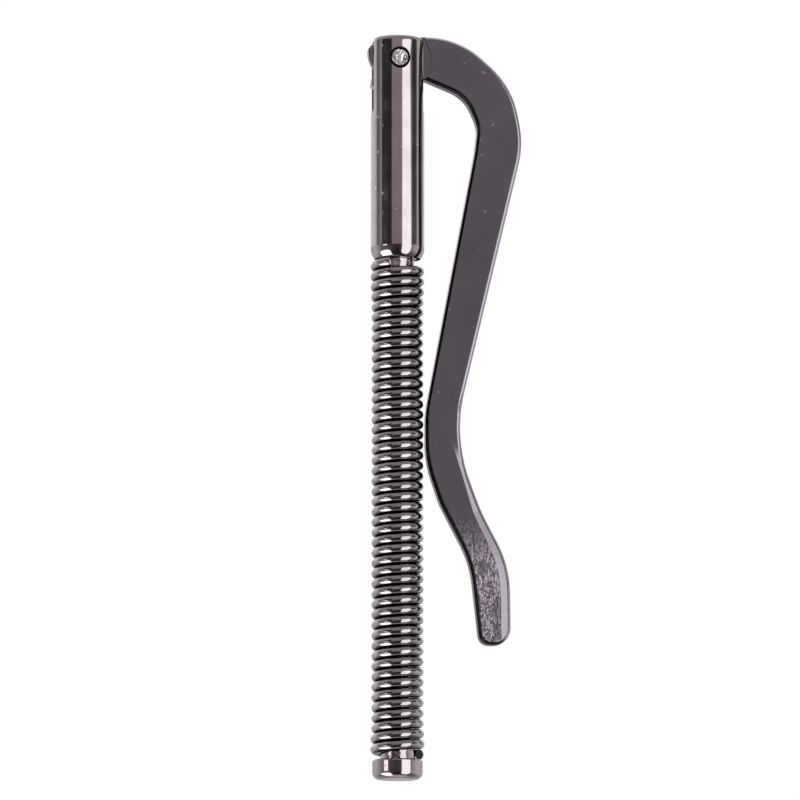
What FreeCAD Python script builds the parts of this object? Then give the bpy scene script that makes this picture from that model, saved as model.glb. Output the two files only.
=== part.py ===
import FreeCAD, Part
import math
import os

import Sketcher

# Spring money-clip bar. The bar stands along +Z and its end cap's flat foot is at the origin.
# The lever lies in the XZ plane on the +X side and turns on a pin along Y.
# Millimetres and degrees throughout.

SIZES = {
    # sleeve: turned bar bored from below, saw slot from the top, countersunk cross hole
    "sleeve_diameter": 6.0, "sleeve_bore": 4.2, "bore_depth": 19.28, "sleeve_foot": 57.87,
    "sleeve_length": 24.86, "sleeve_top_round": 0.6, "foot_taper_width": 0.45,
    "foot_taper_height": 1.3, "slot_width": 2.0, "slot_depth": 8.6, "slot_corner_round": 0.6,
    "slot_edge_break": 0.12, "sink_reach": 2.55, "sink_widening": 0.4,
    # hinge pin and the tang that turns on it
    "pin_diameter": 2.0, "pin_length": 5.6, "pin_edge_break": 0.12, "pin_drop": 2.58,
    "hinge_clearance": 0.05, "tang_thickness": 1.84, "tang_radius": 3.7, "tang_root": 3.06,
    # cam on the tang: involute, so that the follower's stroke grows evenly with the angle
    "cam_rest": 1.65, "cam_rise": 1.054, "cam_sweep": 85.0, "nose_round": 0.72,
    "nose_rise": 0.9,
    # lever plate
    "lever_thickness": 2.2, "lever_edge_round": 0.42,
    # follower, push rod and the bush that guides it
    "follower_diameter": 4.1, "follower_gap": 0.03, "ear_reach": 3.03, "ear_height": 1.55,
    "ear_width": 1.8, "ear_round": 0.7, "blade_reach": 2.0, "relief_start": 0.5,
    "relief_drop": 0.7, "skirt_length": 3.6, "rod_diameter": 2.5, "rod_seat": 2.9,
    "bush_length": 4.0, "bush_bore": 2.7, "spigot_diameter": 3.74, "spigot_length": 4.3,
    "edge_break": 0.15,
    # extension spring
    "wire_diameter": 1.09, "coil_diameter": 4.84, "coil_pitch": 1.1422, "coil_turns": 47.73,
    "coil_start": 2.77, "coil_start_angle": -14.0,
    # end cap
    "cap_diameter": 5.56, "cap_height": 2.2, "cap_foot_round": 0.8, "cap_top_round": 0.2,
    "cap_spigot_length": 2.2, "cap_floor": 1.0,
}

# Corners of the lever plate's outline with the radius that rounds each, from the pin's axis:
# x, z, radius. They run from the nose along the top, down the outer edge, round the tip and
# back up the inner edge to the flat under the pin.
LEVER_CORNERS = [
    (1.3, 2.55, 1.2), (6.36, 3.06, 9.2), (12.72, -2.65, 9.5), (14.03, -9.25, 10.4),
    (6.2, -42.09, 16.6), (9.16, -50.27, 23.5), (12.4, -56.4, 12.8), (12.5, -65.32, 1.9),
    (9.04, -65.19, 1.2), (8.04, -56.17, 12.4), (4.66, -49.64, 8.2), (3.05, -44.9, 13.3),
    (3.03, -39.52, 13.9), (8.58, -10.27, 15.6), (8.93, -7.33, 3.9), (7.42, -4.0, 4.2),
    (1.5, -1.58, 3.0),
]
CAM_ARCS = 4         # tangent arcs that make up the involute


class Size:
    """A number together with the sheet expression that it comes from."""

    def __init__(self, value, text):
        self.value = value
        self.text = text

    def __add__(self, other):
        other = as_size(other)
        return Size(self.value + other.value, f"({self.text} + {other.text})")

    def __sub__(self, other):
        other = as_size(other)
        return Size(self.value - other.value, f"({self.text} - {other.text})")

    def __neg__(self):
        return Size(-self.value, f"(-1 * {self.text})")

    def __mul__(self, factor):
        return Size(self.value * factor, f"({self.text} * {factor})")

    def __truediv__(self, divisor):
        return Size(self.value / divisor, f"({self.text} / {divisor})")


def as_size(value):
    return value if isinstance(value, Size) else Size(value, str(value))


def size(name):
    return Size(SIZES[name], f"Sizes.{name}")


def make_sheet(doc):
    sheet = doc.addObject("Spreadsheet::Sheet", "Sizes")
    for row, (name, value) in enumerate(SIZES.items(), start=1):
        sheet.set(f"A{row}", name)
        sheet.set(f"B{row}", str(value))
        sheet.setAlias(f"B{row}", name)
    doc.recompute()


def make_body(doc, label, height=0.0):
    """A body of its own whose origin stands at this height on the bar's axis."""
    body = doc.addObject("PartDesign::Body", label)
    body.Label = label
    height = as_size(height)
    body.Placement.Base = FreeCAD.Vector(0, 0, height.value)
    body.setExpression(".Placement.Base.z", height.text)
    return body


def make_sketch(body, name, plane):
    support = next(item for item in body.Origin.OriginFeatures if item.Role == plane)
    sketch = body.newObject("Sketcher::SketchObject", name)
    sketch.AttachmentSupport = [(support, "")]
    sketch.MapMode = "FlatFace"
    return sketch


def vector(point):
    return FreeCAD.Vector(as_size(point[0]).value, as_size(point[1]).value, 0)


def pin_point(sketch, edge, end, point):
    """Tie an edge's end to its place with two distances from the sketch's origin."""
    for kind, coordinate in zip(("DistanceX", "DistanceY"), point):
        coordinate = as_size(coordinate)
        index = sketch.addConstraint(
            Sketcher.Constraint(kind, -1, 1, edge, end, coordinate.value))
        sketch.setExpression(f"Constraints[{index}]", coordinate.text)


def draw_polygon(sketch, points):
    """A closed outline of straight lines with every corner tied to the sheet."""
    edges = []
    for start, end in zip(points, points[1:] + points[:1]):
        edges.append(sketch.addGeometry(Part.LineSegment(vector(start), vector(end)), False))
    for index, edge in enumerate(edges):
        following = edges[(index + 1) % len(edges)]
        sketch.addConstraint(Sketcher.Constraint("Coincident", edge, 2, following, 1))
        pin_point(sketch, edge, 1, points[index])


def draw_circle(sketch, diameter):
    """A circle about the sketch's origin."""
    circle = Part.Circle(FreeCAD.Vector(0, 0, 0), FreeCAD.Vector(0, 0, 1), diameter.value / 2)
    edge = sketch.addGeometry(circle, False)
    sketch.addConstraint(Sketcher.Constraint("Coincident", edge, 3, -1, 1))
    index = sketch.addConstraint(Sketcher.Constraint("Diameter", edge, diameter.value))
    sketch.setExpression(f"Constraints[{index}]", diameter.text)


def bind(feature, name, value):
    value = as_size(value)
    setattr(feature, name, value.value)
    feature.setExpression(name, value.text)


def add_feature(body, kind, name, sketch):
    feature = body.newObject(f"PartDesign::{kind}", name)
    feature.Profile = sketch
    sketch.Visibility = False
    return feature


def revolve(body, name, points, kind="Revolution", axis="V_Axis", plane="XZ_Plane"):
    sketch = make_sketch(body, f"{name}_profile", plane)
    draw_polygon(sketch, points)
    feature = add_feature(body, kind, name, sketch)
    feature.ReferenceAxis = (sketch, [axis])
    feature.Angle = 360.0
    return feature


def extrude(body, name, sketch, length, kind="Pad"):
    """A pad or pocket that reaches half its length to each side of its sketch."""
    feature = add_feature(body, kind, name, sketch)
    feature.Midplane = True
    bind(feature, "Length", length)
    return feature


def dress(body, kind, name, edges, amount):
    """A fillet or chamfer on the tip's edges for which edges(edge) is true."""
    body.Document.recompute()
    base = body.Tip
    chosen = [f"Edge{index}" for index, edge in enumerate(base.Shape.Edges, start=1)
              if edges(edge)]
    if not chosen:
        raise RuntimeError(f"{name} found no edge")
    feature = body.newObject(f"PartDesign::{kind}", name)
    feature.Base = (base, chosen)
    bind(feature, "Radius" if kind == "Fillet" else "Size", amount)
    return feature


def circle_at(radius, height):
    """Chooses the circular edge of this radius and height on the part's own axis."""
    def matches(edge):
        curve = edge.Curve
        return (curve.TypeId == "Part::GeomCircle" and abs(curve.Radius - radius) < 1e-4
                and abs(curve.Center.z - height) < 1e-4)
    return matches


def cut_checked(body, feature):
    """Recompute and make sure that a pocket or groove has removed material."""
    body.Document.recompute()
    if not feature.Shape.Volume < feature.BaseFeature.Shape.Volume - 1e-6:
        raise RuntimeError(f"{feature.Name} cuts nothing")


def make_sleeve(doc):
    body = make_body(doc, "sleeve", size("sleeve_foot"))
    outer = size("sleeve_diameter") / 2
    bore = size("sleeve_bore") / 2
    length = size("sleeve_length")
    taper_width = size("foot_taper_width")
    taper_height = size("foot_taper_height")
    depth = size("bore_depth")
    revolve(body, "bar", [(bore, 0), (outer, 0), (outer, length), (0, length), (0, depth),
                          (bore, depth)])
    make_foot_curve(body, outer, taper_width, taper_height)
    dress(body, "Fillet", "top_round", circle_at(outer.value, length.value),
          size("sleeve_top_round"))

    slot = make_sketch(body, "slot_profile", "YZ_Plane")
    half = size("slot_width") / 2
    floor = length - size("slot_depth")
    draw_polygon(slot, [(-half, floor), (half, floor), (half, length + 1), (-half, length + 1)])
    cut_checked(body, extrude(body, "slot", slot, size("sleeve_diameter") + 2, "Pocket"))
    floor_z = floor.value
    dress(body, "Fillet", "slot_corners",
          lambda edge: edge.Curve.TypeId == "Part::GeomLine"
          and abs(edge.BoundBox.ZMax - floor_z) < 1e-4 and edge.BoundBox.ZLength < 1e-4
          and edge.BoundBox.YLength < 1e-4, size("slot_corner_round"))

    dress(body, "Fillet", "slot_edges", is_slot_side(outer.value, half.value),
          size("slot_edge_break"))
    make_cross_hole(body, length - size("pin_drop"), outer)
    return body


def is_slot_side(outer, half):
    """Chooses the upright edges where the slot's walls meet the outside of the sleeve."""
    across = math.sqrt(outer ** 2 - half ** 2)

    def matches(edge):
        box = edge.BoundBox
        return (edge.Curve.TypeId == "Part::GeomLine" and box.XLength < 1e-4
                and box.YLength < 1e-4 and abs(abs(box.XMin) - across) < 1e-3
                and abs(abs(box.YMin) - half) < 1e-3)
    return matches


def make_cross_hole(body, height, outer):
    """The pin's hole, with a conical relief where it breaks out at each side."""
    hole = make_sketch(body, "cross_hole_profile", "XZ_Plane")
    circle = Part.Circle(FreeCAD.Vector(0, height.value, 0), FreeCAD.Vector(0, 0, 1),
                         SIZES["pin_diameter"] / 2)
    edge = hole.addGeometry(circle, False)
    pin_point(hole, edge, 3, (0, height))
    index = hole.addConstraint(Sketcher.Constraint("Diameter", edge, SIZES["pin_diameter"]))
    hole.setExpression(f"Constraints[{index}]", size("pin_diameter").text)
    cut_checked(body, extrude(body, "cross_hole", hole, size("sleeve_diameter") + 2, "Pocket"))

    wall = height + size("pin_diameter") / 2
    start = size("sink_reach")
    end = outer + size("sink_widening") - size("edge_break")
    for name, sign in (("front_sink", -1), ("back_sink", 1)):
        sketch = make_sketch(body, f"{name}_profile", "YZ_Plane")
        draw_polygon(sketch, [(start * sign, wall), (end * sign, wall),
                              (end * sign, wall + size("sink_widening"))])
        axis = Part.LineSegment(FreeCAD.Vector(0, height.value, 0),
                                FreeCAD.Vector(1, height.value, 0))
        axis_edge = sketch.addGeometry(axis, True)
        pin_point(sketch, axis_edge, 1, (0, height))
        sketch.addConstraint(Sketcher.Constraint("Horizontal", axis_edge))
        groove = add_feature(body, "Groove", name, sketch)
        groove.ReferenceAxis = (sketch, ["Axis0"])
        groove.Angle = 360.0
        cut_checked(body, groove)


def make_foot_curve(body, outer, width, height):
    """Groove that turns the sleeve's lower edge into one easy curve."""
    radius = (width.value ** 2 + height.value ** 2) / (2 * width.value)
    sketch = make_sketch(body, "foot_curve_profile", "XZ_Plane")
    top = FreeCAD.Vector(outer.value, height.value, 0)
    end = FreeCAD.Vector(outer.value - width.value, 0, 0)
    centre = FreeCAD.Vector(outer.value - radius, height.value, 0)
    half_angle = math.asin(height.value / radius) / 2
    middle = centre + FreeCAD.Vector(math.cos(half_angle), -math.sin(half_angle), 0) * radius
    corner = FreeCAD.Vector(outer.value + width.value, -width.value, 0)
    sketch.addGeometry(Part.Arc(top, middle, end), False)
    sketch.addGeometry(Part.LineSegment(end, FreeCAD.Vector(end.x, corner.y, 0)), False)
    sketch.addGeometry(Part.LineSegment(FreeCAD.Vector(end.x, corner.y, 0), corner), False)
    sketch.addGeometry(Part.LineSegment(corner, FreeCAD.Vector(corner.x, top.y, 0)), False)
    sketch.addGeometry(Part.LineSegment(FreeCAD.Vector(corner.x, top.y, 0), top), False)
    groove = add_feature(body, "Groove", "foot_curve", sketch)
    groove.ReferenceAxis = (sketch, ["V_Axis"])
    groove.Angle = 360.0
    cut_checked(body, groove)


def make_spring_bush(doc):
    body = make_body(doc, "spring_bush", size("sleeve_foot"))
    bore = size("bush_bore") / 2
    seat = size("sleeve_bore") / 2
    spigot = size("spigot_diameter") / 2
    length = size("bush_length")
    drop = -size("spigot_length")
    revolve(body, "bush", [(bore, drop), (spigot, drop), (spigot, 0), (seat, 0), (seat, length),
                           (bore, length)])
    dress(body, "Chamfer", "spigot_lead", circle_at(spigot.value, drop.value),
          size("edge_break"))
    return body


def make_hinge_pin(doc):
    height = size("sleeve_foot") + size("sleeve_length") - size("pin_drop")
    body = make_body(doc, "hinge_pin", height)
    sketch = make_sketch(body, "pin_profile", "XZ_Plane")
    draw_circle(sketch, size("pin_diameter"))
    extrude(body, "pin", sketch, size("pin_length"))
    dress(body, "Chamfer", "pin_ends", lambda edge: edge.Curve.TypeId == "Part::GeomCircle",
          size("pin_edge_break"))
    return body


def cam_arcs():
    """The involute as tangent arcs, from the contact at rest round to the nose, and its end.

    Unwinding a string from a polygon instead of its base circle gives arcs about the polygon's
    corners, each radius longer than the one before by the polygon's side.
    """
    step = math.radians(SIZES["cam_sweep"]) / CAM_ARCS
    corner_radius = SIZES["cam_rise"] / math.cos(step / 2)
    arcs = []
    start = FreeCAD.Vector(-SIZES["cam_rise"], -SIZES["cam_rest"], 0)
    for index in range(CAM_ARCS):
        turn = (index + 0.5) * step
        centre = FreeCAD.Vector(-math.cos(turn), math.sin(turn), 0) * corner_radius
        radius = (start - centre).Length
        middle = centre + FreeCAD.Vector(-math.sin(turn), -math.cos(turn), 0) * radius
        end_turn = (index + 1) * step
        end = centre + FreeCAD.Vector(-math.sin(end_turn), -math.cos(end_turn), 0) * radius
        arcs.append(Part.Arc(start, middle, end))
        start = end
    return arcs, start


def rounded_path(start, corners, end):
    """Lines and tangent arcs from start to end round the corners given as x, z, radius."""
    places = [start] + [FreeCAD.Vector(x, z, 0) for x, z, _ in corners] + [end]
    pieces = []
    here = start
    for index, (_, _, radius) in enumerate(corners, start=1):
        corner = places[index]
        back = (places[index - 1] - corner).normalize()
        ahead = (places[index + 1] - corner).normalize()
        half_angle = back.getAngle(ahead) / 2
        reach = radius / math.tan(half_angle)
        arc_start = corner + back * reach
        arc_end = corner + ahead * reach
        bisector = (back + ahead).normalize()
        middle = corner + bisector * (radius / math.sin(half_angle) - radius)
        if (arc_start - here).dot(corner - here) <= 0:
            raise RuntimeError(f"corner {index} at {corner} has too large a radius")
        pieces.append(Part.LineSegment(here, arc_start))
        pieces.append(Part.Arc(arc_start, middle, arc_end))
        here = arc_end
    pieces.append(Part.LineSegment(here, end))
    return pieces


def draw_lever(sketch):
    """The plate's outline: nose, top, outer edge, tip, inner edge, flat and cam."""
    arcs, cam_end = cam_arcs()
    sweep = math.radians(SIZES["cam_sweep"])
    rising = FreeCAD.Vector(-math.cos(sweep), math.sin(sweep), 0)
    nose = cam_end + rising * SIZES["nose_rise"]
    cam_start = FreeCAD.Vector(-SIZES["cam_rise"], -SIZES["cam_rest"], 0)
    corners = [(nose.x, nose.y, SIZES["nose_round"])] + LEVER_CORNERS
    for piece in rounded_path(cam_end, corners, cam_start) + arcs:
        sketch.addGeometry(piece, False)


def make_lever(doc):
    height = size("sleeve_foot") + size("sleeve_length") - size("pin_drop")
    body = make_body(doc, "clip_lever", height)
    outline = make_sketch(body, "lever_outline", "XZ_Plane")
    draw_lever(outline)
    extrude(body, "plate", outline, size("lever_thickness"))
    half = SIZES["lever_thickness"] / 2
    dress(body, "Fillet", "edge_round",
          lambda edge: edge.BoundBox.YLength < 1e-4 and abs(abs(edge.BoundBox.YMin) - half) < 1e-4,
          size("lever_edge_round"))
    thin_tang(body)
    bore = make_sketch(body, "bore_profile", "XZ_Plane")
    draw_circle(bore, size("pin_diameter") + size("hinge_clearance") * 2)
    cut_checked(body, extrude(body, "bore", bore, size("lever_thickness") + 2, "Pocket"))
    return body


def thin_tang(body):
    """Thin the tang from both faces inside a circle about the pin and left of its root."""
    radius = SIZES["tang_radius"]
    root = SIZES["tang_root"]
    reach = math.sqrt(radius ** 2 - root ** 2)
    step = size("lever_thickness") - size("tang_thickness")
    for side in (-1, 1):
        sketch = make_sketch(body, "tang_front" if side < 0 else "tang_back", "XZ_Plane")
        offset = FreeCAD.Vector(0, 0, -side * SIZES["lever_thickness"] / 2)
        sketch.AttachmentOffset = FreeCAD.Placement(offset, FreeCAD.Rotation())
        corners = [(root, reach), (root, 6), (-6, 6), (-6, -6), (root, -6), (root, -reach)]
        for start, end in zip(corners, corners[1:]):
            sketch.addGeometry(Part.LineSegment(vector(start), vector(end)), False)
        sketch.addGeometry(Part.Arc(vector(corners[-1]), FreeCAD.Vector(radius, 0, 0),
                                    vector(corners[0])), False)
        cut_checked(body, extrude(body, f"{sketch.Name}_step", sketch, step, "Pocket"))


def follower_top():
    """Height of the follower's flat top, just clear of the tang."""
    return (size("sleeve_foot") + size("sleeve_length") - size("pin_drop")
            - size("cam_rest") - size("follower_gap"))


def make_follower(doc):
    body = make_body(doc, "cam_follower", follower_top())
    radius = size("follower_diameter") / 2
    seat = size("rod_diameter") / 2
    shoulder = -size("ear_height")
    foot = shoulder - size("skirt_length")
    seat_top = foot + size("rod_seat")
    revolve(body, "plunger", [(seat, foot), (radius, foot), (radius, shoulder), (0, shoulder),
                              (0, seat_top), (seat, seat_top)])
    reach = -size("ear_reach")
    right = size("blade_reach")
    blade = make_sketch(body, "blade_profile", "XZ_Plane")
    draw_polygon(blade, [(reach, shoulder), (right, shoulder), (right, -size("relief_drop")),
                         (size("relief_start"), 0), (reach, 0)])
    extrude(body, "blade", blade, size("ear_width"))
    dress(body, "Fillet", "ear_end",
          lambda edge: edge.BoundBox.XMax < reach.value + 1e-4 and edge.BoundBox.YLength > 1,
          size("ear_round"))
    return body


def make_push_rod(doc):
    body = make_body(doc, "push_rod", size("cap_floor"))
    sketch = make_sketch(body, "rod_profile", "XY_Plane")
    draw_circle(sketch, size("rod_diameter"))
    top = follower_top() - size("ear_height") - size("skirt_length") + size("rod_seat")
    pad = add_feature(body, "Pad", "rod", sketch)
    bind(pad, "Length", top - size("cap_floor"))
    dress(body, "Chamfer", "rod_ends", lambda edge: edge.Curve.TypeId == "Part::GeomCircle",
          size("edge_break"))
    return body


def make_end_cap(doc):
    body = make_body(doc, "end_cap")
    outer = size("cap_diameter") / 2
    spigot = size("spigot_diameter") / 2
    seat = size("rod_diameter") / 2
    top = size("cap_height")
    crest = top + size("cap_spigot_length")
    floor = size("cap_floor")
    revolve(body, "button", [(0, 0), (outer, 0), (outer, top), (spigot, top), (spigot, crest),
                             (seat, crest), (seat, floor), (0, floor)])
    dress(body, "Fillet", "foot_round", circle_at(outer.value, 0), size("cap_foot_round"))
    dress(body, "Fillet", "top_round", circle_at(outer.value, top.value), size("cap_top_round"))
    dress(body, "Chamfer", "spigot_lead", circle_at(spigot.value, crest.value),
          size("edge_break"))
    return body


def make_spring(doc):
    body = make_body(doc, "extension_spring", size("coil_start"))
    sketch = make_sketch(body, "wire_section", "XZ_Plane")
    radius = size("coil_diameter") / 2
    circle = Part.Circle(FreeCAD.Vector(radius.value, 0, 0), FreeCAD.Vector(0, 0, 1),
                         SIZES["wire_diameter"] / 2)
    edge = sketch.addGeometry(circle, False)
    pin_point(sketch, edge, 3, (radius, 0))
    index = sketch.addConstraint(Sketcher.Constraint("Diameter", edge, SIZES["wire_diameter"]))
    sketch.setExpression(f"Constraints[{index}]", size("wire_diameter").text)
    helix = add_feature(body, "AdditiveHelix", "coils", sketch)
    helix.ReferenceAxis = (sketch, ["V_Axis"])
    helix.Mode = "pitch-turns-angle"
    bind(helix, "Pitch", size("coil_pitch"))
    bind(helix, "Turns", size("coil_turns"))
    body.Placement.Rotation = FreeCAD.Rotation(FreeCAD.Vector(0, 0, 1), SIZES["coil_start_angle"])
    return body


def check(doc, parts):
    for item in doc.Objects:
        if "Invalid" in item.State or "Error" in item.State:
            raise RuntimeError(f"{item.Name} failed: {item.State}")
    for part in parts:
        if part.Shape.isNull() or not part.Shape.isValid():
            raise RuntimeError(f"{part.Label} has no valid shape")


def main():
    os.makedirs("parts", exist_ok=True)
    doc = FreeCAD.newDocument("money_clip_bar")
    make_sheet(doc)
    parts = [make_sleeve(doc), make_spring_bush(doc), make_hinge_pin(doc), make_lever(doc),
             make_follower(doc), make_push_rod(doc), make_end_cap(doc), make_spring(doc)]
    doc.recompute()
    check(doc, parts)
    for part in parts:
        part.Shape.exportStep(f"parts/{part.Label}.step")
        print(part.Label, round(part.Shape.Volume, 2), len(part.Shape.Solids))


main()
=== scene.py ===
import math

import bmesh
import bpy
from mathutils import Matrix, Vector


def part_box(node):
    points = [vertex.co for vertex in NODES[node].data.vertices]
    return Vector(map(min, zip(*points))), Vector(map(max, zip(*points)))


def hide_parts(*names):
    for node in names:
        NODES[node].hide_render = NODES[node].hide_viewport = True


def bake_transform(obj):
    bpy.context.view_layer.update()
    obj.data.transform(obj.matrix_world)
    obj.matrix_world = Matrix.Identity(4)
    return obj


# Looks of the spring money-clip bar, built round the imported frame. Metres and radians.
# The bar stands along +Z on its end cap and the lever hangs on its +X side.

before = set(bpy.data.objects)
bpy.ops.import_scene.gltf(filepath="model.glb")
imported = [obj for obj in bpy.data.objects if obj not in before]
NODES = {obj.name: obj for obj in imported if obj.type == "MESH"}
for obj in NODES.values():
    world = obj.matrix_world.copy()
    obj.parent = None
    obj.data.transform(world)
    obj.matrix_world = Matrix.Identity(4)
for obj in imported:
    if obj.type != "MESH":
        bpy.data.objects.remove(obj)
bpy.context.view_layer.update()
MM = 0.001

# ---------------------------------------------------------------- node trees


def colour(value):
    """A grey or a red, green and blue, as four channels."""
    if isinstance(value, (int, float)):
        return (value, value, value, 1.0)
    return (*value, 1.0)


def darker(tint, share):
    return [channel * share for channel in tint]


class Graph:
    """A short way to write a node tree."""

    def __init__(self, tree):
        self.tree = tree
        tree.nodes.clear()

    def add(self, kind, inputs=None, **settings):
        node = self.tree.nodes.new(kind)
        for name, value in settings.items():
            setattr(node, name, value)
        for name, value in (inputs or {}).items():
            self.put(node.inputs[name], value)
        return node

    def put(self, socket, value):
        if isinstance(value, bpy.types.NodeSocket):
            self.tree.links.new(value, socket)
        else:
            socket.default_value = value

    def math(self, operation, a, b=0.0, c=0.0):
        node = self.add("ShaderNodeMath", {0: a, 1: b, 2: c}, operation=operation)
        return node.outputs[0]

    def plus(self, a, b):
        return self.math("ADD", a, b)

    def minus(self, a, b):
        return self.math("SUBTRACT", a, b)

    def times(self, a, b):
        return self.math("MULTIPLY", a, b)

    def axes(self, vector):
        return self.add("ShaderNodeSeparateXYZ", {0: vector}).outputs

    def facing(self):
        """The direction that the surface faces in the object's own frame, as x, y and z."""
        return self.axes(self.add("ShaderNodeTexCoord").outputs["Normal"])

    def ramp(self, factor, stops):
        """Stops are (position, grey or colour)."""
        node = self.add("ShaderNodeValToRGB", {"Fac": factor})
        elements = node.color_ramp.elements
        while len(elements) > 1:
            elements.remove(elements[-1])
        for index, (position, value) in enumerate(stops):
            element = elements[0] if index == 0 else elements.new(position)
            element.position = position
            element.color = colour(value)
        return node.outputs["Color"]

    def between(self, value, none, full):
        """0 at none and beyond it, 1 at full and beyond it, smooth in between."""
        node = self.add("ShaderNodeMapRange",
                        {"Value": value, "From Min": none, "From Max": full},
                        interpolation_type="SMOOTHSTEP")
        return node.outputs["Result"]

    def mix(self, factor, a, b, blend="MIX"):
        node = self.add("ShaderNodeMix", data_type="RGBA", blend_type=blend)
        factor_in, first, second = node.inputs[0], node.inputs[6], node.inputs[7]
        self.put(factor_in, factor)
        for socket, value in ((first, a), (second, b)):
            self.put(socket, value if isinstance(value, bpy.types.NodeSocket)
                     else colour(value))
        return node.outputs[2]

    def noise(self, vector, scale, detail=3.0, roughness=0.5, distortion=0.0):
        node = self.add("ShaderNodeTexNoise",
                        {"Vector": vector, "Scale": scale, "Detail": detail,
                         "Roughness": roughness, "Distortion": distortion})
        return node.outputs["Fac"]

    def stretched(self, vector, scale):
        return self.add("ShaderNodeMapping", {"Vector": vector, "Scale": scale}).outputs[0]

    def bump(self, shader, height, distance=1.0, strength=1.0):
        """Raise the surface by height times distance, in metres."""
        node = self.add("ShaderNodeBump", {"Height": height, "Distance": distance,
                                           "Strength": strength})
        self.put(shader.inputs["Normal"], node.outputs[0])


# ---------------------------------------------------------------- materials

PIN_LOW, PIN_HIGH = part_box("hinge_pin")
PIN_HEIGHT = (PIN_LOW[2] + PIN_HIGH[2]) / 2
PIN_EDGE = (0.88 * MM, 0.93 * MM)        # the pin's face goes dark between these radii

TIP_PITS = (30.5 * MM, 23.0 * MM)        # the plating is pitted and carries painted highlight patches below these heights
GROUND_STARTS = (38.0 * MM, 33.0 * MM)   # the ground flat fades in between these heights
GROUND_WIDENS = (38.0 * MM, 25.0 * MM)
GROUND_WIDTH = 0.5 * MM
GROUND_EXTRA = 0.55 * MM                 # how much wider the flat gets towards the tip
GROUND_SLOPE = 0.26
OUTER_CORNERS = [(6.2, 38.06), (9.16, 29.88), (12.4, 23.75), (12.5, 14.83)]   # x and z, mm
LAST_BEND = 2.2 * MM                     # how softly the last two of their lines meet


def new_material(name):
    material = bpy.data.materials.new(name)
    material.use_nodes = True
    graph = Graph(material.node_tree)
    place = graph.add("ShaderNodeTexCoord").outputs["Object"]
    shader = graph.add("ShaderNodeBsdfPrincipled", {"Metallic": 1.0})
    output = graph.add("ShaderNodeOutputMaterial")
    graph.tree.links.new(shader.outputs[0], output.inputs[0])
    return material, graph, place, shader


def polished_plate(name, tint, grain_above, painted_shade_below=0.0):
    """Black nickel: cloudy colour, lengthwise polishing lines, faint waves, a few bright ticks.

    Above the height grain_above it is left as turned, and the last argument is how strongly the
    faces that look straight down get painted shade, dark and dull.
    """
    material, graph, place, shader = new_material(name)
    clouds = graph.noise(place, 420.0, 4.0)
    rub = graph.noise(graph.stretched(place, (1.0, 1.0, 0.06)), 5200.0, 2.0)
    ticks = graph.between(graph.noise(place, 1500.0, 1.0), 0.73, 0.76)
    body = graph.mix(graph.between(clouds, 0.35, 0.65), darker(tint, 0.88), tint)
    body = graph.mix(ticks, body, (0.85, 0.80, 0.82))
    # Painted shade: faces that look straight down are made dark, with their reflection taken
    # away.
    shade = graph.times(graph.between(graph.facing()[2], -0.9, -0.98), painted_shade_below)
    graph.put(shader.inputs["Base Color"], graph.mix(shade, body, 0.015))
    shine = graph.minus(1.0, shade)
    graph.put(shader.inputs["Metallic"], shine)
    graph.put(shader.inputs["Specular IOR Level"], graph.times(shine, 0.5))
    smear = graph.times(graph.between(clouds, 0.3, 0.7), 0.045)
    streak = graph.times(rub, 0.03)
    graph.put(shader.inputs["Roughness"], graph.plus(graph.plus(smear, streak), 0.03))

    waves = graph.noise(graph.stretched(place, (1.0, 1.0, 0.7)), 150.0, 4.0, 0.3)
    height = graph.plus(graph.times(rub, 0.0007 * MM), graph.times(waves, 0.03 * MM))
    turned = graph.times(graph.noise(place, 1300.0, 2.0, 0.5, 0.8), 0.045 * MM)
    left_turned = graph.math("GREATER_THAN", graph.axes(place)[2], grain_above)
    height = graph.plus(height, graph.times(turned, left_turned))
    height = graph.minus(height, graph.times(ticks, 0.012 * MM))
    graph.bump(shader, height)
    return material


def wire_plate(name, tint):
    """Drawn and plated spring wire, with painted shade where the turns touch."""
    material, graph, place, shader = new_material(name)
    clouds = graph.noise(place, 700.0, 3.0)
    body = graph.mix(graph.between(clouds, 0.35, 0.7), darker(tint, 0.82), tint)
    rise = graph.facing()[2]
    # Painted shade: faces that look steeply up or down, into the crevices between turns, are
    # made nearly black.
    painted_crevice_shade = graph.math("MAXIMUM", graph.between(rise, -0.62, -0.80),
                       graph.between(rise, 0.82, 0.95))
    graph.put(shader.inputs["Base Color"], graph.mix(painted_crevice_shade, body, (0.035, 0.028, 0.027)))
    graph.put(shader.inputs["Roughness"], graph.plus(graph.times(clouds, 0.07), 0.055))
    graph.bump(shader, graph.noise(place, 5200.0, 2.0), 0.004 * MM, 0.35)
    return material


def from_line(graph, where, above, below):
    """Metres to the left of the line that runs down between two points, x and z in mm."""
    along = (Vector(below) - Vector(above)).normalized()
    across = Vector((along.y, -along.x))
    reach = across.dot(Vector(above)) * MM
    sideways = graph.plus(graph.times(where[0], across.x), graph.times(where[2], across.y))
    return graph.minus(sideways, reach)


def inside_ground_flat(graph, where):
    """Metres from the inner border of the flat ground along the outer edge, below 0 on it."""
    upper, middle, lower = (from_line(graph, where, above, below)
                            for above, below in zip(OUTER_CORNERS, OUTER_CORNERS[1:]))
    edge = graph.math("SMOOTH_MIN", graph.math("MAXIMUM", upper, middle), lower, c=LAST_BEND)
    widening = graph.between(where[2], *GROUND_WIDENS)
    return graph.minus(edge, graph.plus(graph.times(widening, GROUND_EXTRA), GROUND_WIDTH))


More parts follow.
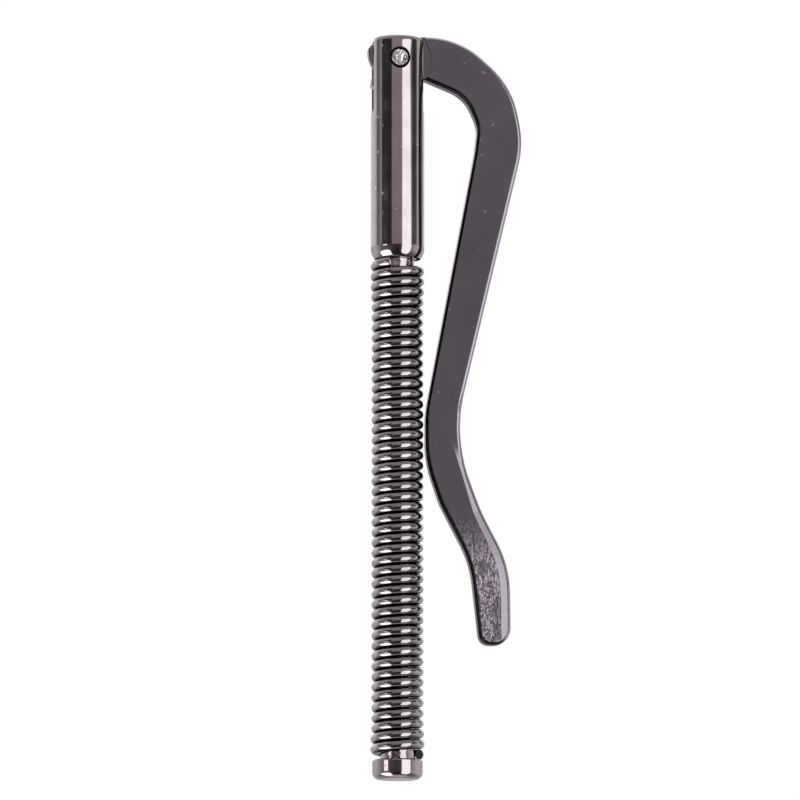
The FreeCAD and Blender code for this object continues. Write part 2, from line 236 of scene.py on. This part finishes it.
def lever_plate(name, face, outer_edge_sheen, inner_edge_shade):
    """Dark satin faces; the outer edge carries a painted highlight, the inner edge painted
    shade and the upward-facing edges a painted highlight.

    Towards the tip a flat is ground along the outer edge and the plating is pitted, with
    painted highlight patches over the pits.
    """
    material, graph, place, shader = new_material(name)
    where = graph.axes(place)
    facing = graph.facing()
    flat = graph.between(graph.math("ABSOLUTE", facing[1]), 0.93, 0.99)
    outward = graph.plus(graph.times(facing[0], 0.8), graph.times(facing[2], 0.6))
    outer = graph.between(outward, -0.1, 0.2)
    tip = graph.between(where[2], *TIP_PITS)

    clouds = graph.noise(place, 260.0, 4.0)
    satin = graph.mix(graph.between(clouds, 0.3, 0.7), darker(face, 0.93), face)
    satin = graph.mix(graph.between(where[2], 60.0 * MM, 35.0 * MM), satin, darker(face, 1.13))
    specks = graph.between(graph.noise(place, 1500.0, 1.0), 0.745, 0.775)
    satin = graph.mix(graph.times(specks, 0.7), satin, (0.6, 0.58, 0.62))
    # Painted highlight: bright lilac patches on the pitted plating towards the tip.
    peel = graph.noise(graph.stretched(place, (1.0, 1.0, 0.7)), 4200.0, 3.0, 0.6, 0.2)
    highlight_spread = graph.between(graph.noise(place, 330.0, 2.0), 0.33, 0.5)
    tip_highlight_patches = graph.times(graph.between(peel, 0.44, 0.56), highlight_spread)
    satin = graph.mix(graph.times(tip_highlight_patches, tip), satin, (0.80, 0.76, 0.86))

    inside = inside_ground_flat(graph, where)
    started = graph.between(where[2], *GROUND_STARTS)
    strip = graph.times(graph.between(inside, 0.06 * MM, -0.06 * MM), started)
    satin = graph.mix(strip, satin, darker(outer_edge_sheen, 0.6))
    # Painted edge light: a highlight on the outer edge, shade on the inner edge, and a
    # near-white highlight on edges that face up.
    top_edge_highlight = graph.between(facing[2], 0.15, 0.5)
    painted_edge_light = graph.mix(top_edge_highlight, graph.mix(outer, inner_edge_shade, outer_edge_sheen), (0.98, 0.95, 1.0))
    graph.put(shader.inputs["Base Color"], graph.mix(flat, painted_edge_light, satin))
    graph.put(shader.inputs["Roughness"], graph.plus(graph.times(clouds, 0.06), 0.17))

    slope = graph.times(graph.math("MINIMUM", inside, 0.0), GROUND_SLOPE)
    dents = graph.times(graph.times(peel, tip), 0.026 * MM)
    graph.bump(shader, graph.plus(graph.times(slope, started), dents))
    return material


def bare_steel(name, tint):
    material, graph, place, shader = new_material(name)
    clouds = graph.noise(place, 1500.0, 4.0)
    graph.put(shader.inputs["Base Color"], graph.mix(clouds, darker(tint, 0.7), tint))
    graph.put(shader.inputs["Roughness"], graph.plus(graph.times(clouds, 0.2), 0.2))
    graph.bump(shader, graph.noise(place, 3000.0, 3.0), 0.03 * MM, 0.6)
    return material


def hammered_steel(name, tint):
    """The pin: bright, peened flat at its ends, with a dark edge in the hole."""
    material, graph, place, shader = new_material(name)
    where = graph.axes(place)
    up = graph.minus(where[2], PIN_HEIGHT)
    squares = graph.plus(graph.times(up, up), graph.times(where[0], where[0]))
    radius = graph.math("SQRT", squares)
    dents = graph.noise(place, 1500.0, 2.0, 0.55, 0.6)
    body = graph.mix(graph.between(dents, 0.35, 0.62), darker(tint, 0.55), tint)
    body = graph.mix(graph.between(radius, *PIN_EDGE), body, 0.02)
    graph.put(shader.inputs["Base Color"], body)
    graph.put(shader.inputs["Roughness"], graph.plus(graph.times(dents, 0.2), 0.12))
    graph.bump(shader, dents, 0.16 * MM)
    return material


NICKEL_TINT = (0.50, 0.455, 0.46)
NOWHERE = 1.0                            # a height above the whole bar
# The sleeve's nickel carries painted shade on the faces that look straight down.
NICKEL = polished_plate("black_nickel", NICKEL_TINT, grain_above=NOWHERE, painted_shade_below=1.0)
CAP_NICKEL = polished_plate("cap_nickel", NICKEL_TINT, grain_above=2.25 * MM)
BUSH_NICKEL = polished_plate("bush_nickel", NICKEL_TINT, grain_above=0.0)
WIRE = wire_plate("plated_wire", (0.50, 0.47, 0.485))
# The lever's edge colours are painted light: a highlight on the outer edge and shade on the
# inner edge.
GUNMETAL = lever_plate("satin_gunmetal", (0.238, 0.236, 0.272), outer_edge_sheen=(0.45, 0.42, 0.47),
                       inner_edge_shade=(0.03, 0.026, 0.027))
PIN_STEEL = hammered_steel("pin_steel", (0.93, 0.92, 0.92))
ROD_STEEL = bare_steel("rod_steel", (0.45, 0.45, 0.45))

FINISH = {
    "sleeve": NICKEL,
    "spring_bush": BUSH_NICKEL,
    "end_cap": CAP_NICKEL,
    "clip_lever": GUNMETAL,
    "extension_spring": WIRE,
    "hinge_pin": PIN_STEEL,
    "cam_follower": NICKEL,
    "push_rod": ROD_STEEL,
}
for node_name, material in FINISH.items():
    slots = NODES[node_name].data.materials
    slots.clear()
    slots.append(material)

# ---------------------------------------------------------------- spring

WIRE_RADIUS = 0.562 * MM
TURNS = 47.73
PITCH = 1.1422 * MM
SPRING_FOOT = 2.77 * MM
SPRING_TOP = SPRING_FOOT + TURNS * PITCH
FIRST_ANGLE = math.radians(-14.0)
COIL_RADIUS = 2.315               # mean radius, mm
SPREAD = 0.105                    # how much wider the end turns are, mm
TOP_GAP = 0.06                    # the uppermost turns stand this far off the rest, mm
STEPS_PER_TURN = 72
RING_POINTS = 20


def smooth(value, low, high):
    share = min(1.0, max(0.0, (value - low) / (high - low)))
    return share * share * (3 - 2 * share)


def coil_radius(turn):
    """Mean radius: the end turns are spread over the spigots."""
    foot = 1 - smooth(turn, 1.2, 2.8)
    head = smooth(turn, TURNS - 4.2, TURNS - 2.2)
    return (COIL_RADIUS + SPREAD * max(foot, head)) * MM


def coil_height(turn):
    gap = TOP_GAP * smooth(turn, TURNS - 3.6, TURNS - 3.0)
    pitch = (SPRING_TOP - SPRING_FOOT - gap * MM) / TURNS
    return SPRING_FOOT + pitch * turn + gap * MM


def wire_ring(mesh, turn):
    """The points round the wire at one place along it. The cut end is pinched."""
    angle = FIRST_ANGLE + 2 * math.pi * turn
    radius = coil_radius(turn)
    out = Vector((math.cos(angle), math.sin(angle), 0))
    along = Vector((-math.sin(angle) * radius, math.cos(angle) * radius,
                    PITCH / (2 * math.pi))).normalized()
    up = along.cross(out) * -1
    pinch = 0.72 + 0.28 * smooth(turn, 0.0, 0.07)
    centre = out * radius + Vector((0, 0, coil_height(turn)))
    points = []
    for index in range(RING_POINTS):
        a = 2 * math.pi * index / RING_POINTS
        reach = out * math.cos(a) * pinch + up * math.sin(a)
        points.append(mesh.verts.new(centre + reach * WIRE_RADIUS))
    return points


def make_spring():
    total = round(TURNS * STEPS_PER_TURN)
    mesh = bmesh.new()
    rings = [wire_ring(mesh, TURNS * index / total) for index in range(total + 1)]
    for here, there in zip(rings, rings[1:]):
        for k in range(RING_POINTS):
            after = (k + 1) % RING_POINTS
            mesh.faces.new((here[k], there[k], there[after], here[after]))
    mesh.faces.new(rings[0])
    mesh.faces.new(rings[-1][::-1])
    bmesh.ops.recalc_face_normals(mesh, faces=mesh.faces)
    data = bpy.data.meshes.new("coil_spring")
    mesh.to_mesh(data)
    mesh.free()
    for polygon in data.polygons:
        polygon.use_smooth = len(polygon.vertices) == 4
    spring = bpy.data.objects.new("coil_spring", data)
    bpy.context.scene.collection.objects.link(spring)
    data.materials.append(WIRE)
    return spring


spring = make_spring()
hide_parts("extension_spring")
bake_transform(spring)

# ---------------------------------------------------------------- studio

AZIMUTH = math.radians(-6.0)
RISE = math.radians(7.5)          # the view looks up at the bar by this much
DISTANCE = 0.8
AIM = (0.28 * MM, 42.12 * MM)     # to the right of the bar's axis, and up it
WIDTH_SEEN = 88.56 * MM
SENSOR_WIDTH = 36.0
FLOOR_HALF_WIDTH = 1.5
FLOOR_GAP = 0.0002                # the floor lies this far under the end cap


def bands(rows):
    """Ramp stops from rows of degrees to the right of the view's azimuth, and a tone."""
    return [((degrees + 180.0) / 360.0, tone) for degrees, tone in rows]


MAUVE = (0.41, 0.345, 0.355)
UPPER = bands([
    (-180, 1.15), (-112, 0.95), (-103, 0.70), (-99, 0.24), (-86, 0.19), (-80, 0.38),
    (-71, 0.38), (-68, 0.04), (-26, 0.04), (-23, MAUVE), (40, MAUVE),
    (50, 0.5), (64, 0.4), (68, 0.055), (86, 0.06), (92, 0.35), (98, 0.75),
    (112, 0.72), (117, 0.12), (130, 0.15), (138, 0.85), (180, 1.15),
])
LOWER = bands([
    (-180, 0.5), (-112, 0.75), (-92, 0.5), (-75, 0.25), (-34, 0.12),
    (-10, 0.05), (12, 0.06), (24, 0.2), (66, 0.3), (72, 0.5), (84, 0.6),
    (110, 0.75), (180, 0.5),
])
ZENITH = bands([
    (-180, 0.75), (-100, 0.55), (-60, 0.38), (0, 0.34), (40, 0.30), (100, 0.4), (180, 0.75),
])
NADIR = bands([
    (-180, 0.5), (-90, 0.22), (-40, 0.06), (0, 0.02), (40, 0.05), (100, 0.2), (180, 0.5),
])
STRAIGHT_DOWN = (0.66, 0.62, 0.63)

# Each takes over from the ones before it between two elevations, in degrees.
LAYERS = [((4.0, 10.0), UPPER), ((22.0, 44.0), ZENITH), ((-14.0, -40.0), NADIR)]
DOWN_FROM = (-55.0, -72.0)

# Middle and half size in degrees, right of the view and up, and brightness.
STRIP_LIGHTS = [
    ((41.0, -14.0), (21.5, 34.0), 1.9),
    ((-64.0, -46.0), (30.0, 24.0), 2.6),
    ((-54.0, 3.5), (10.0, 4.0), 2.0),
]


def panel(graph, turn, height, at, half):
    """1 inside a soft-edged oval light, given by its middle and half sizes in degrees."""
    across = graph.math("DIVIDE", graph.minus(turn, at[0]), half[0])
    up = graph.math("DIVIDE", graph.minus(height, at[1]), half[1])
    reach = graph.plus(graph.math("POWER", graph.math("ABSOLUTE", across), 4.0),
                       graph.math("POWER", graph.math("ABSOLUTE", up), 4.0))
    return graph.between(reach, 1.2, 0.8)


def studio_tone(graph):
    """The studio's light in each direction: banded walls, then the strip lights over them."""
    way = graph.axes(graph.add("ShaderNodeTexCoord").outputs["Generated"])
    angle = graph.math("ARCTAN2", way[0], graph.times(way[1], -1.0))
    turn = graph.math("DIVIDE", graph.minus(angle, AZIMUTH), 2 * math.pi)
    round_view = graph.math("FRACT", graph.plus(turn, 0.5))
    height = graph.math("DEGREES", graph.math("ARCSINE", way[2]))
    tone = graph.ramp(round_view, LOWER)
    for elevations, stops in LAYERS:
        tone = graph.mix(graph.between(height, *elevations), tone,
                         graph.ramp(round_view, stops))
    tone = graph.mix(graph.between(height, *DOWN_FROM), tone, STRAIGHT_DOWN)
    right = graph.minus(graph.times(round_view, 360.0), 180.0)
    for at, half, light in STRIP_LIGHTS:
        tone = graph.mix(panel(graph, right, height, at, half), tone, light)
    return graph.mix(1.0, tone, (1.0, 0.965, 0.975), "MULTIPLY")


def make_world():
    """The studio lights the object, and the camera sees plain white behind it."""
    world = bpy.data.worlds.new("studio")
    bpy.context.scene.world = world
    world.use_nodes = True
    graph = Graph(world.node_tree)
    studio = graph.add("ShaderNodeBackground", {"Color": studio_tone(graph), "Strength": 1.0})
    plain = graph.add("ShaderNodeBackground", {"Color": colour(1.0), "Strength": 1.0})
    seen = graph.add("ShaderNodeLightPath").outputs["Is Camera Ray"]
    mixed = graph.add("ShaderNodeMixShader", {0: seen, 1: studio.outputs[0],
                                              2: plain.outputs[0]})
    output = graph.add("ShaderNodeOutputWorld")
    graph.tree.links.new(mixed.outputs[0], output.inputs[0])


def make_floor():
    mesh = bmesh.new()
    bmesh.ops.create_grid(mesh, x_segments=8, y_segments=8, size=FLOOR_HALF_WIDTH)
    data = bpy.data.meshes.new("floor")
    mesh.to_mesh(data)
    mesh.free()
    floor = bpy.data.objects.new("floor", data)
    floor.location.z = -FLOOR_GAP
    bpy.context.scene.collection.objects.link(floor)
    material = bpy.data.materials.new("pale_floor")
    material.use_nodes = True
    graph = Graph(material.node_tree)
    white = graph.add("ShaderNodeEmission", {"Color": colour(1.0), "Strength": 1.0})
    output = graph.add("ShaderNodeOutputMaterial")
    graph.tree.links.new(white.outputs[0], output.inputs[0])
    data.materials.append(material)
    floor.visible_glossy = False
    floor.visible_camera = False      # the view comes from a little below it


def make_camera():
    camera = bpy.data.objects.new("camera", bpy.data.cameras.new("camera"))
    bpy.context.scene.collection.objects.link(camera)
    bpy.context.scene.camera = camera
    camera.data.sensor_width = SENSOR_WIDTH
    camera.data.lens = SENSOR_WIDTH * DISTANCE / WIDTH_SEEN
    camera.data.clip_start = 0.01
    camera.data.clip_end = 10.0
    right = Vector((math.cos(AZIMUTH), math.sin(AZIMUTH), 0))
    back = Vector((math.sin(AZIMUTH) * math.cos(RISE), -math.cos(AZIMUTH) * math.cos(RISE),
                   -math.sin(RISE)))
    camera.location = back * DISTANCE + right * AIM[0] + Vector((0, 0, AIM[1]))
    camera.rotation_euler = (-back).to_track_quat("-Z", "Y").to_euler()


make_world()
make_floor()
make_camera()
bpy.context.scene.view_settings.view_transform = "Standard"
